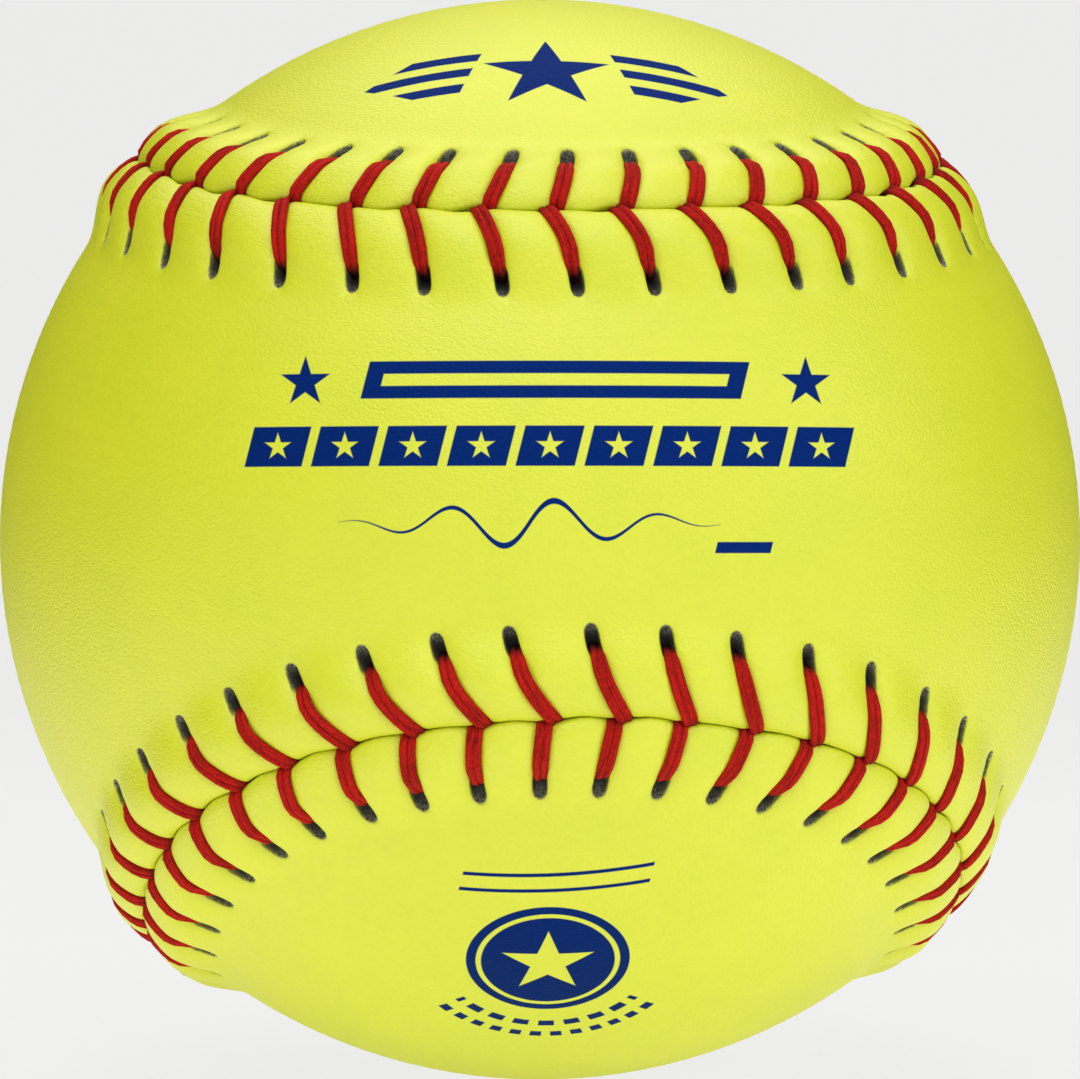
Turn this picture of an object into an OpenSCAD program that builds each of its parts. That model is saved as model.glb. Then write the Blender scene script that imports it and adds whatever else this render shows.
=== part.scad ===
// Raised-seam softball: a solid core in two laced leather panels. Units are millimetres.
// The origin is the centre of the ball. +Z is up and -Y is the front.

/* [Ball] */
// Girth round the smooth leather, away from the seam
girth = 279.4; // [250:0.1:310]
// Thickness of the cover leather
cover_t = 1.9; // [1.7:0.05:2.2]
// Thickness of the cement between the core and the cover
cement_t = 0.3; // [0.2:0.05:0.4]
// Play between pieces that lie on each other
fit_gap = 0.05; // [0.03:0.01:0.08]

/* [Seam] */
// Number of stitches along the whole seam, on each of its two sides
stitch_count = 88; // [80:4:92]
// Height of the leather roll beside the seam, midway between two stitches
roll_h = 1.9; // [1.7:0.05:2.2]
// Distance from the seam to the crest of the roll
roll_crest = 2.6; // [2.4:0.05:2.9]
// Distance from the seam to where the roll has run out
roll_end = 8.4; // [8:0.1:9]
// Height of the lips where the two panels meet
lip_h = 0.9; // [0.6:0.05:1.2]
// Width of the slit between the two lips
seam_gap = 0.2; // [0.15:0.05:0.3]
// Length of the leather that runs out from a needle hole to the smooth ball
run_out = 2; // [1.5:0.1:2.4]
// Width of the band that leads from the roll to the smooth leather
blend_w = 2.8; // [2.2:0.1:3.2]

/* [Thread] */
// Thickness of one strand of the doubled thread
strand_d = 0.72; // [0.6:0.02:0.78]
// How far the two strands are pressed into each other
strand_press = 0.06; // [0.03:0.01:0.1]
// Distance from the seam to where a leg enters the front panel
front_entry_d = 5.1; // [4.9:0.1:5.3]
// Distance from the seam to where a leg enters the back panel
back_entry_d = 4.7; // [4.4:0.1:4.9]
// How far a needle hole lies ahead of its leg's groove end, along the seam
lean = 1.6; // [1.2:0.1:2]
// How much more a leg leans where its panel is narrow, and less where it is wide
lean_swing = 0.9; // [0:0.1:1.2]
// How much less a front leg leans, and more a back leg, at the first stitch than half way round the seam
lean_ease = 0.6; // [0:0.1:0.8]
// How far apart the two legs of a stitch leave the groove
legs_apart = 0.7; // [0.5:0.1:0.9]
// Distance from the seam to where a leg ends in the groove
dive_d = 0.6; // [0.58:0.01:0.68]
// Height of a leg's groove end over the smooth leather
dive_h = 0.9; // [0.8:0.05:1]
// Height of the leather round a needle hole
hole_h = 0.3; // [0.2:0.05:0.5]
// How far a needle hole starts before the leg enters it
hole_near = 0.7; // [0.6:0.05:0.9]
// How far a needle hole runs on past the point of entry
hole_far = 1.7; // [1.5:0.05:1.9]
// Width of a needle hole
hole_w = 1.6; // [1.5:0.05:1.8]
// Length of a leg that runs on inside its needle hole
tail = 0.9; // [0.6:0.1:1.1]
// Distance from the seam to where a hidden return starts
return_start = 1.1; // [0.9:0.1:1.4]
// How far the first stitch lies from the top of the front waist, along the seam
first_stitch = 3; // [2.5:0.05:3.2]
// How far the stitches have crept along the seam where they have crept most
stitch_creep = 0.6; // [0:0.05:0.9]
// How far the stitches are drawn together towards the middle of each waist
stitch_sway = 1.5; // [0:0.1:1.6]

/* [Lie] */
// How far the front waist is tilted up
lie_tilt = 8; // [0:1:30]
// How far the front waist is turned to the right
lie_turn = 4; // [0:1:30]
// How far the ball is rolled to the left
lie_roll = 0.5; // [0:0.5:10]

/* [Hidden] */

// Shape of the seam curve, as shares of its main wave
third_share = 0.4581;
fifth_share = 0.0301;
rise_share = 1.2369;
ripple_share = -0.0142;
// Rise of a leg's arch over the line between its ends, as a share of the roll's height
arch_share = 0.68;
// Rows of the leather, as shares of the leg's arc, of the climb to the roll's crest, and of its fall
under_shares = [0, 0.2, 0.4, 0.6, 0.8, 1];
climb_shares = [1 / 6, 1 / 2];
fall_shares = [0.27, 0.48, 0.75];

$fn = 96;
turn = 360;
half_turn = 180;
quarter_turn = 90;
ball_r = girth / (2 * PI);
strand_r = strand_d / 2;
pitch_r = strand_r - strand_press / 2;
degrees = half_turn / PI;

// Rows of the leather between the roll and the middle line of a panel
far_rows = 4;
// End of a panel's middle line, as an angle from its waist
middle_end = 108;
// Half the angle that the widest flat facet spans, and its dip below the true ball
facet_half = 8;
facet_dip = ball_r * (1 - cos(facet_half));

cover_in_r = ball_r - cover_t;
cement_r = cover_in_r - facet_dip - fit_gap;
core_r = cement_r - cement_t - fit_gap;
return_r = cement_r + fit_gap + strand_r;

function unit(v) = v / norm(v);
function mix(a, b, share) = a + (b - a) * share;

// The seam curve on a ball of radius 1, for an angle from 0 to a full turn
function seam(t) = unit([
    sin(t) + third_share * sin(3 * t) + fifth_share * sin(5 * t),
    cos(t) - third_share * cos(3 * t) + fifth_share * cos(5 * t),
    rise_share * cos(2 * t) + ripple_share * cos(6 * t)]);

// Table from the length along the seam to the curve's angle
table_steps = 1440;
table_step = turn / table_steps;
seam_table = [for (i = 0, run = 0; i <= table_steps;
    run = run + ball_r * norm(seam((i + 1) * table_step) - seam(i * table_step)), i = i + 1)
    [run, i * table_step]];
seam_length = seam_table[table_steps][0];
pitch = seam_length / stitch_count;
// Underside of the leather near the seam, lifted clear of the hidden returns by more than its facets dip
near_dip = (front_entry_d * front_entry_d + pitch * pitch / 4) / (8 * ball_r);
lifted_in_r = return_r + strand_r + near_dip + 2 * fit_gap;

function wrap(s) = s - seam_length * floor(s / seam_length);
function angle_at(s) = lookup(wrap(s), seam_table);
function run_way(t) = unit(seam(t + table_step) - seam(t - table_step));
// Direction of the point at length s along the seam and distance d from it, positive on the front panel
function on_ball_t(t, d) = seam(t) * cos(d / ball_r * degrees)
    + cross(run_way(t), seam(t)) * sin(d / ball_r * degrees);
function on_ball(s, d) = on_ball_t(angle_at(s), d);

// Where the leg of stitch i leaves the groove, along the seam, and how far its needle hole lies ahead of it.
// The seam is alike in each quarter, and each panel is narrow in two of them.
quarters = 4;
function leg_s(i, side) = first_stitch + i * pitch + stitch_creep * cos(turn * i / stitch_count)
    - stitch_sway * sin(quarters * turn * i / stitch_count) - side * legs_apart / 2;
function leg_lean(i, side) = lean + side * lean_swing * cos(quarters / 2 * turn * i / stitch_count)
    - side * lean_ease * (1 + cos(turn * i / stitch_count)) / 2;

function entry_d(side) = side > 0 ? front_entry_d : back_entry_d;
// Direction of a point on the line of leg i, or between two legs where i is between two stitches
function leg_line(i, side, d) = on_ball(leg_s(i, side) + leg_lean(i, side) * d / entry_d(side), side * d);

// Frame of the leg of stitch i: out along the leg, up from the ball, and across
function groove_dir(i, side) = leg_line(i, side, 0);
function entry_dir(i, side) = leg_line(i, side, entry_d(side));
function leg_frame(i, side) = let (
    out = unit(entry_dir(i, side) - groove_dir(i, side)),
    up = unit(entry_dir(i, side) + groove_dir(i, side)))
    [out, up, cross(out, up)];

// Side view of a leg: an arc from the groove into the needle hole, x out and y up
function side_point(x, h, half) = let (a = x / ball_r * degrees - half) (ball_r + h) * [sin(a), cos(a)];
function way(a) = [cos(a), sin(a)];
function turn_of(p, centre) = atan2(p[1] - centre[1], p[0] - centre[0]);
seat = strand_r + fit_gap;
// Length of a leg over the ball and half its angle, then its arc: centre, turns at the groove, at the near
// edge of the hole and at the end, and radius
function leg_side(i, side) = let (
    half = acos(groove_dir(i, side) * entry_dir(i, side)) / 2,
    run = 2 * half * ball_r / degrees,
    dive = side_point(dive_d, dive_h, half),
    entry = side_point(run, hole_h, half),
    chord = norm(entry - dive),
    up = [dive[1] - entry[1], entry[0] - dive[0]] / chord,
    rise = arch_share * roll_h,
    arch_r = (chord * chord / 4 + rise * rise) / (2 * rise),
    centre = (dive + entry) / 2 - (arch_r - rise) * up,
    entry_turn = turn_of(entry, centre))
    [run, half, centre, turn_of(dive, centre), entry_turn + hole_near / arch_r * degrees,
     entry_turn - tail / arch_r * degrees, arch_r];
front_legs = [for (i = [0 : stitch_count - 1]) leg_side(i, 1)];
back_legs = [for (i = [0 : stitch_count - 1]) leg_side(i, -1)];
function leg(i, side) = side > 0 ? front_legs[i] : back_legs[i];

// Rows of the leather under a leg: the lip to the near edge of the needle hole, its far edge, and the blend
function side_rows(v) = [for (share = under_shares) v[2] + (v[6] - seat) * way(mix(v[3], v[4], share)),
                         side_point(v[0] + hole_far, hole_h, v[1]),
                         side_point(v[0] + hole_far + run_out, 0, v[1])];
front_rows = [for (v = front_legs) side_rows(v)];
back_rows = [for (v = back_legs) side_rows(v)];
function leg_rows(i, side) = side > 0 ? front_rows[i] : back_rows[i];
lip_row = 0;
near_row = len(under_shares) - 1;
far_row = near_row + 1;
last_row = len(front_rows[0]) - 1;

// Direction and place of a point on the leather under leg i, half a needle hole behind it or ahead of it
function leg_dir(i, side, row, ahead) = let (f = leg_frame(i, side), p = leg_rows(i, side)[row])
    unit(f[0] * p[0] + f[1] * p[1] - f[2] * side * ahead * hole_w / 2);
function leg_point(i, side, row, ahead) = leg_dir(i, side, row, ahead) * norm(leg_rows(i, side)[row]);

// Height and distance of the leather midway between two stitches, row by row
function roll_height(d) = d < roll_crest
    ? lip_h + (roll_h - lip_h) * sqrt(1 - pow((roll_crest - d) / roll_crest, 2))
    : roll_h * (1 + cos(half_turn * min(1, (d - roll_crest) / (roll_end - roll_crest)))) / 2;
mid_ds = [seam_gap / 2, for (share = climb_shares) mix(seam_gap / 2, roll_crest, share),
          roll_crest, for (share = fall_shares) mix(roll_crest, roll_end, share), roll_end];
function mid_dir(i, side, row) = leg_line(i + 1 / 2, side, mid_ds[row]);
function mid_point(i, side, row) = mid_dir(i, side, row) * (ball_r + roll_height(mid_ds[row]));

// Smooth leather: one column for each stitch, from the blend to the panel's middle line
function edge_dir(i, side) =
    on_ball(leg_s(i, side) + leg_lean(i, side) * roll_end / entry_d(side), side * (roll_end + blend_w));
// The front panel's middle line runs across its waist; the back panel's is that line, turned and flipped
function pair_index(i, side) = let (pair = (side > 0 ? stitch_count / 2 : stitch_count) - 1 - i)
    pair < 0 ? pair + stitch_count : pair;
function base_turn(i) = angle_at((i + 1 / 2) * pitch);
function middle_dir(i, side) = side > 0
    ? let (a = middle_end * sin(base_turn(i))) [sin(a), 0, cos(a)]
    : let (a = middle_end * cos(base_turn(i))) [0, sin(a), -cos(a)];
function far_dir(i, side, row) = row == far_rows
    ? middle_dir(min(i, pair_index(i, side)), side)
    : unit(mix(edge_dir(i, side), middle_dir(min(i, pair_index(i, side)), side), row / far_rows));

// One panel: near the seam three columns for each stitch, farther in one, and the underside in the same way
cols = 3;
near_count = stitch_count * cols;
function near_outer(side) = [for (row = [0 : last_row], i = [0 : stitch_count - 1], c = [0 : cols - 1])
    c == 2 ? mid_point(i, side, row) : leg_point(i, side, row, c == 0 ? -1 : 1)];
inner_rows = [lip_row, near_row, far_row];
in_near_row = 1;
in_far_row = 2;
function near_inner(side) = [for (row = inner_rows, i = [0 : stitch_count - 1], c = [0 : cols - 1])
    c == 2 ? mid_dir(i, side, row) * lifted_in_r
           : leg_dir(i, side, row, c == 0 ? -1 : 1) * lifted_in_r];
function far_points(side, r) =
    [for (row = [0 : far_rows], i = [0 : stitch_count - 1]) far_dir(i, side, row) * r];
function panel_points(side) =
    concat(near_outer(side), far_points(side, ball_r), near_inner(side), far_points(side, cover_in_r));

// Where each group of points starts in a panel's list
far_start = (last_row + 1) * near_count;
in_start = far_start + (far_rows + 1) * stitch_count;
in_far_start = in_start + len(inner_rows) * near_count;
function near_id(start, row, n) = start + row * near_count + (n % near_count);
function far_id(start, row, n, side) = let (i = n % stitch_count)
    start + row * stitch_count + (row == far_rows ? min(i, pair_index(i, side)) : i);
function flip(face) = [for (k = [len(face) - 1 : -1 : 0]) face[k]];
function split(a, b, c, d) = c == d ? [[a, b, c]] : [[a, b, c], [a, c, d]];

// Faces of the band from one near row to the next, with the needle holes left open
function near_band(start, row, hole_row) = [for (n = [0 : near_count - 1])
    if (row != hole_row || n % cols != 0)
        each split(near_id(start, row, n), near_id(start, row, n + 1),
                   near_id(start, row + 1, n + 1), near_id(start, row + 1, n))];
// Faces from the last near row to the first far row
function fan_band(start, row, far, side) = [for (i = [0 : stitch_count - 1])
    let (n = i * cols, f0 = far_id(far, 0, i, side), f1 = far_id(far, 0, i + 1, side))
    each [[near_id(start, row, n), near_id(start, row, n + 1), f0],
          [near_id(start, row, n + 1), near_id(start, row, n + 2), f0],
          [near_id(start, row, n + 2), near_id(start, row, n + 3), f1],
          [near_id(start, row, n + 2), f1, f0]]];
function far_band(far, side) = [for (row = [0 : far_rows - 1], i = [0 : stitch_count - 1])
    each split(far_id(far, row, i, side), far_id(far, row, i + 1, side),
               far_id(far, row + 1, i + 1, side), far_id(far, row + 1, i, side))];
function skin(start, rows, hole_row, far, side) = concat(
    [for (row = [0 : rows - 2]) each near_band(start, row, hole_row)],
    fan_band(start, rows - 1, far, side),
    far_band(far, side));
function seam_wall() = [for (n = [0 : near_count - 1])
    each split(near_id(0, lip_row, n + 1), near_id(0, lip_row, n),
               near_id(in_start, 0, n), near_id(in_start, 0, n + 1))];
function hole_walls() = [for (i = [0 : stitch_count - 1])
    let (n = i * cols,
         top = [near_id(0, near_row, n), near_id(0, near_row, n + 1),
                near_id(0, far_row, n + 1), near_id(0, far_row, n)],
         low = [near_id(in_start, in_near_row, n), near_id(in_start, in_near_row, n + 1),
                near_id(in_start, in_far_row, n + 1), near_id(in_start, in_far_row, n)])
    for (k = [0 : 3]) let (m = (k + 1) % 4) each split(top[k], top[m], low[m], low[k])];
function panel_faces(side) = let (faces = concat(
    skin(0, last_row + 1, near_row, far_start, side),
    [for (face = skin(in_start, len(inner_rows), in_near_row, in_far_start, side)) flip(face)],
    seam_wall(), hole_walls()))
    side > 0 ? faces : [for (face = faces) flip(face)];

// Turns the ball's own seam frame, with the front waist on its +Z, to the way it lies in front of the viewer
module as_it_lies() {
    rotate([quarter_turn, 0, 0]) rotate([-lie_tilt, lie_turn, lie_roll]) children();
}

module cover_panel(side) {
    as_it_lies() polyhedron(points = panel_points(side), faces = panel_faces(side));
}

// The doubled thread, cut across, at distance r from the centre it bends round
module doubled_thread(r) {
    for (k = [-1, 1]) translate([r, k * pitch_r]) circle(r = strand_r);
}

module on_frame(f) {
    multmatrix([for (k = [0 : 2]) [f[0][k], f[1][k], f[2][k], 0]]) children();
}

module stitch_leg(i, side) {
    v = leg(i, side);
    on_frame(leg_frame(i, side)) translate([v[2][0], v[2][1], 0]) rotate([0, 0, v[5]])
        rotate_extrude(angle = v[3] - v[5]) doubled_thread(v[6]);
}

module stitches(side) {
    as_it_lies() for (i = [0 : stitch_count - 1]) stitch_leg(i, side);
}

// A return runs under the leather from the groove at one stitch to the needle hole of the next
module hidden_return(i, side) {
    across = leg_s(i, side) + leg_lean(i, side) - leg_s(i - 1, side);
    start = on_ball(leg_s(i - 1, side) + across * return_start / entry_d(side), side * return_start);
    end = entry_dir(i, side);
    axis = unit(cross(start, end));
    on_frame([start, cross(axis, start), axis])
        rotate_extrude(angle = acos(start * end)) doubled_thread(return_r);
}

module hidden_returns(side) {
    as_it_lies() for (i = [0 : stitch_count - 1]) hidden_return(i, side);
}

module core() {
    color("gainsboro") sphere(r = core_r);
}

module cement_film() {
    color("dimgray") difference() {
        sphere(r = cement_r);
        sphere(r = core_r + fit_gap);
    }
}

module cover_panel_front() { color("greenyellow") cover_panel(1); }
module cover_panel_back() { color("yellowgreen") cover_panel(-1); }
module stitches_front() { color("crimson") stitches(1); }
module stitches_back() { color("firebrick") stitches(-1); }
module thread_under_front() { color("darkred") hidden_returns(1); }
module thread_under_back() { color("maroon") hidden_returns(-1); }

core();
cement_film();
cover_panel_front();
cover_panel_back();
stitches_front();
stitches_back();
thread_under_front();
thread_under_back();
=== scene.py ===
"""Raised-seam softball: two laced leather panels over a solid core, dressed and lit for its picture."""
import math
from types import SimpleNamespace

import bmesh
import bpy
import numpy as np
from bpy.props import EnumProperty, FloatProperty, FloatVectorProperty, IntProperty, PointerProperty
from mathutils import Matrix, Vector


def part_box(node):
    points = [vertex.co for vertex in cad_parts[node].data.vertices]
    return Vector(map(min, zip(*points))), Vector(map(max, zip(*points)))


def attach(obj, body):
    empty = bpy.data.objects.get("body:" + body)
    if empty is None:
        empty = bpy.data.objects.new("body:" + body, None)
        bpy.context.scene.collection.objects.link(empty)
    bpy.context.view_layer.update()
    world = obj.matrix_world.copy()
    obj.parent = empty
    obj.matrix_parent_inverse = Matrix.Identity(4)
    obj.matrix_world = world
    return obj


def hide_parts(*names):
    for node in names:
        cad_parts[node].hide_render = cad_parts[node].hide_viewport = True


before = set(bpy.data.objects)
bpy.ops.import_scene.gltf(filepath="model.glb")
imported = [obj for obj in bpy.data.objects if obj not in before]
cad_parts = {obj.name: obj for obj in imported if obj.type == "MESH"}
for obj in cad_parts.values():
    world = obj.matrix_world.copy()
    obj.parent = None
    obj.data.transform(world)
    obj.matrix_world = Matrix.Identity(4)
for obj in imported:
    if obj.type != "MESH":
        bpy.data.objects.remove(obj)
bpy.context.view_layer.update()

bl_info = {
    "name": "Raised-seam softball",
    "version": (1, 0, 0),
    "blender": (4, 5, 0),
    "location": "3D View > Sidebar > Softball",
    "description": "Dresses the solids of a softball in leather and waxed thread, and sets its stage",
    "category": "Object",
}

MM = 0.001
FRONT = 1
BACK = -1
SIDE_NAMES = {FRONT: "front", BACK: "back"}

# Shape of the seam curve, as shares of its main wave, the same as in the solids
THIRD_SHARE = 0.4581
FIFTH_SHARE = 0.0301
RISE_SHARE = 1.2369
RIPPLE_SHARE = -0.0142
SEAM_STEPS = 1440

# How far a panel's middle line runs from the middle of its waist before it folds back
MIDDLE_END = math.radians(108)

# How a leg bows on its way out, and how its line runs on past the needle hole, as shares
BOW_SHARE = 0.13
REACH_SHARE = 0.3

# Lips of the panels where they meet, in mm
LIP_GAP = 0.01  # how far each stands off the seam between two stitches
THREAD_GAP = 0.07  # how much further it stands off beside a thread
GAPE = 0.24  # how much further still where the lips gape
WANDER = 0.07  # how far the lips' line strays
SCALLOP = 0.14  # how far it curves between two stitches

# Gapes between the lips: place behind the stitch and length, in stitches, and their share on the lower seam
GAPE_BEHIND = 0.28
GAPE_LENGTH = 0.15
LOWER_GAPE = 0.15

# How far a leg presses the leather down, in mm: at the seam, at the crest, before and past its entry, and at the
# end, which lies this far past the entry
PRESS_DEPTHS = [0.34, 0.5, 0.78, 0.62, 0]
PRESS_END = 3.0

# Columns of the leather grid beside a leg, in mm from the leg's line on a stitch of the nominal pitch
COLUMN_OFFSETS = [0, 0.22, 0.42, 0.54, 0.7, 0.95, 1.35, 1.95, 2.75]
TIGHT_COLUMNS = 4
HALF_COLUMNS = len(COLUMN_OFFSETS) - 1
STITCH_COLUMNS = 2 * HALF_COLUMNS
CREST_ROWS = 9
SLOPE_ROWS = 7
HOLE_ROWS = 14
FADE_ROWS = 8
FAR_ROWS = 16
UNDER_FAR_ROWS = 3
# Where the close rows round a needle hole start and end, in mm past the point of entry
HOLE_ROWS_FROM = -0.8
HOLE_ROWS_TO = 2.3
# Where the near rows end, in mm from the seam, and where the rows on the underside lie
NEAR_END = 10.5
UNDER_DISTANCES = [0.15, 2.6, 6.0, NEAR_END]

STRAND_SIDES = 8
STRANDS = (-1, 1)
# Distance between the two strands' middles as a share of their width, and how it varies from groove to hole
STRAND_GAP_SHARE = 0.78
SPREADS = [1.0, 1.1, 1.04, 0.94]
# Near the hole one strand climbs on the other: shift and lift in mm, and how much thinner both are, as a share
TIGHT_SHIFT = 0.1
TIGHT_LIFT = 0.14
TIGHT_THIN = 0.12
# Height of a strand's middle over the leather, as a share of half its thickness
SEAT_SHARE = 0.92
# Where the leg's middle is as it dives in the groove: distance from the seam and height, in mm
GROOVE_DIVE = {FRONT: [(-0.24, 0.25), (-0.06, 0.95), (0.22, 1.22)],
               BACK: [(-0.04, 0.1), (0.1, 0.72), (0.34, 1.08)]}
# Where its rings on the roll lie, as shares of the way to the needle hole
LEG_SHARES = [0.14, 0.27, 0.44, 0.6, 0.75]
# Where its middle is as it dives in its needle hole: distance past the point of entry and height, in mm
HOLE_DIVE = {FRONT: [(-0.55, 0.66), (-0.2, 0.1), (-0.02, -0.85)],
             BACK: [(-0.1, 0.48), (0.2, -0.05), (0.38, -0.9)]}

# How square the ends of a needle hole are: 2 is an oval
SLOT_POWER = 3.6

SEED = 11


def length(name, description, value):
    """A length setting, given in millimetres."""
    return FloatProperty(name=name, description=description, default=value * MM, unit="LENGTH", precision=5)


def angle(name, description, value):
    """An angle setting, given in degrees."""
    return FloatProperty(name=name, description=description, default=math.radians(value), subtype="ANGLE")


def colour(name, description, value):
    """A colour setting, as linear red, green and blue."""
    return FloatVectorProperty(name=name, description=description, default=value, subtype="COLOR",
                               min=0, max=1)


class BallSizes(bpy.types.PropertyGroup):
    """Sizes of the ball, those of the solids or within half a millimetre of them"""
    stitches: IntProperty(name="Stitches", description="Stitches along the seam, on each side", default=88)
    girth: length("Girth", "Girth round the smooth leather", 279.4)
    cover_t: length("Cover thickness", "Thickness of the leather away from the seam", 1.9)
    seam_t: length("Depth at the seam", "Depth of the leather's underside beside the seam", 1.41)
    roll_h: length("Roll height", "Height of the roll beside the seam, between two stitches", 1.9)
    roll_crest: length("Roll crest", "Distance from the seam to the crest of the roll", 2.6)
    roll_end: length("Roll end", "Distance from the seam to where the roll has run out", 8.4)
    lip_h: length("Lip height", "Height of the lips where the panels meet", 0.9)
    front_entry: length("Front entry", "Distance from the seam to where a leg enters the front panel", 5.1)
    back_entry: length("Back entry", "Distance from the seam to where a leg enters the back panel", 4.7)
    lean: length("Lean", "How far a needle hole lies ahead of its leg's groove end", 1.6)
    lean_swing: length("Lean swing", "How much more a leg leans where its panel is narrow", 0.9)
    back_sway: length("Back sway", "How far the back legs' needle holes are drawn aside at each waist", 0.5)
    lean_ease: length("Lean ease", "How much less a front leg leans, and more a back leg, at stitch 0", 0.6)
    legs_apart: length("Legs apart", "How far apart the two legs of a stitch leave the groove", 0.7)
    first_stitch: length("First stitch", "Place of the first stitch along the seam", 3.0)
    stitch_creep: length("Stitch creep", "How far the stitches have crept along the seam", 0.6)
    stitch_sway: length("Stitch sway", "How far the stitches are drawn together at each waist", 1.5)
    strand_w: length("Strand width", "Width of one strand of the doubled thread", 0.68)
    strand_t: length("Strand thickness", "Thickness of one strand of the doubled thread", 0.54)
    slot_w: length("Slot width", "Width of a needle hole", 1.08)
    slot_near: length("Slot start", "How far a needle hole starts before the leg enters it", 0.7)
    front_slot: length("Front slot", "How far a front needle hole runs on past the leg", 1.9)
    back_slot: length("Back slot", "How far a back needle hole runs on past the leg", 2.0)
    slot_depth: length("Slot depth", "Depth of a needle hole below the smooth leather", 1.15)
    slot_end_depth: length("Slot end depth", "Depth of a needle hole at its far end", 0.45)
    settle: length("Settled rolls", "How much lower the rolls lie on the ball's right side", 0.5)
    puff: length("Puff unevenness", "How far the puffs between the stitches differ in height", 0.16)
    jitter: length("Stitch unevenness", "How far a stitch strays from its place", 0.14)
    lie_tilt: angle("Tilt", "How far the front waist is tilted up", 8)
    lie_turn: angle("Turn", "How far the front waist is turned to the right", 4)
    lie_roll: angle("Roll", "How far the ball is rolled to the left", 0.5)


class BallColours(bpy.types.PropertyGroup):
    """Colours of the ball's finishes"""
    leather: colour("Leather", "Optic yellow of the cover", (0.68, 0.725, 0.018))
    leather_deep: colour("Leather, deep", "Greener tone in the leather's mottling", (0.585, 0.69, 0.013))
    marks: colour("Marks", "Ink of the printed marks", (0.0, 0.018, 0.155))
    thread: colour("Thread", "Red of the waxed thread", (0.56, 0.009, 0.006))
    # Painted shade in the thread's furrows, where its relief lies low; partly a random streak tone as well
    thread_furrow_shade: colour("Thread, deep", "Red in the thread's furrows", (0.16, 0.005, 0.003))
    # Painted shade on the thread's last stretch at each end, where it dives into a needle hole or into the
    # groove
    thread_dive_shade: colour("Thread, ends", "Soiled thread where it dives out of sight", (0.035, 0.006, 0.004))
    # Painted shade: the near-black inside of a needle hole stands in for the shade within it
    hole: colour("Needle hole", "Dark inside of a needle hole", (0.014, 0.010, 0.006))
    fibre: colour("Fibre", "Raw leather fibres that show in a needle hole", (0.30, 0.31, 0.24))
    groove: colour("Groove", "Leather in the shade of the groove", (0.2, 0.23, 0.006))
    core: colour("Core", "Moulded core", (0.78, 0.77, 0.72))
    core_deep: colour("Core, deep", "Darker tone in the core's mottling", (0.66, 0.64, 0.58))
    cement: colour("Cement", "Cement film", (0.03, 0.03, 0.03))
    cement_deep: colour("Cement, deep", "Darker tone in the cement's mottling", (0.012, 0.012, 0.012))


def settings():
    """The size settings as plain numbers, with lengths in millimetres."""
    group = bpy.context.scene.ball_sizes
    values = SimpleNamespace()
    for name, prop in group.bl_rna.properties.items():
        if name not in ("rna_type", "name"):
            scale = 1 / MM if getattr(prop, "unit", "NONE") == "LENGTH" else 1
            setattr(values, name, getattr(group, name) * scale)
    return values


def unit(vectors):
    return vectors / np.linalg.norm(vectors, axis=-1, keepdims=True)


def eased(x, knots, values):
    """Values at the knots, joined by smooth steps."""
    place = np.interp(x, knots, np.arange(len(knots)))
    low = np.clip(np.floor(place).astype(int), 0, len(knots) - 2)
    share = place - low
    share = share * share * (3 - 2 * share)
    values = np.asarray(values, dtype=float)
    return values[low] + (values[low + 1] - values[low]) * share


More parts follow.
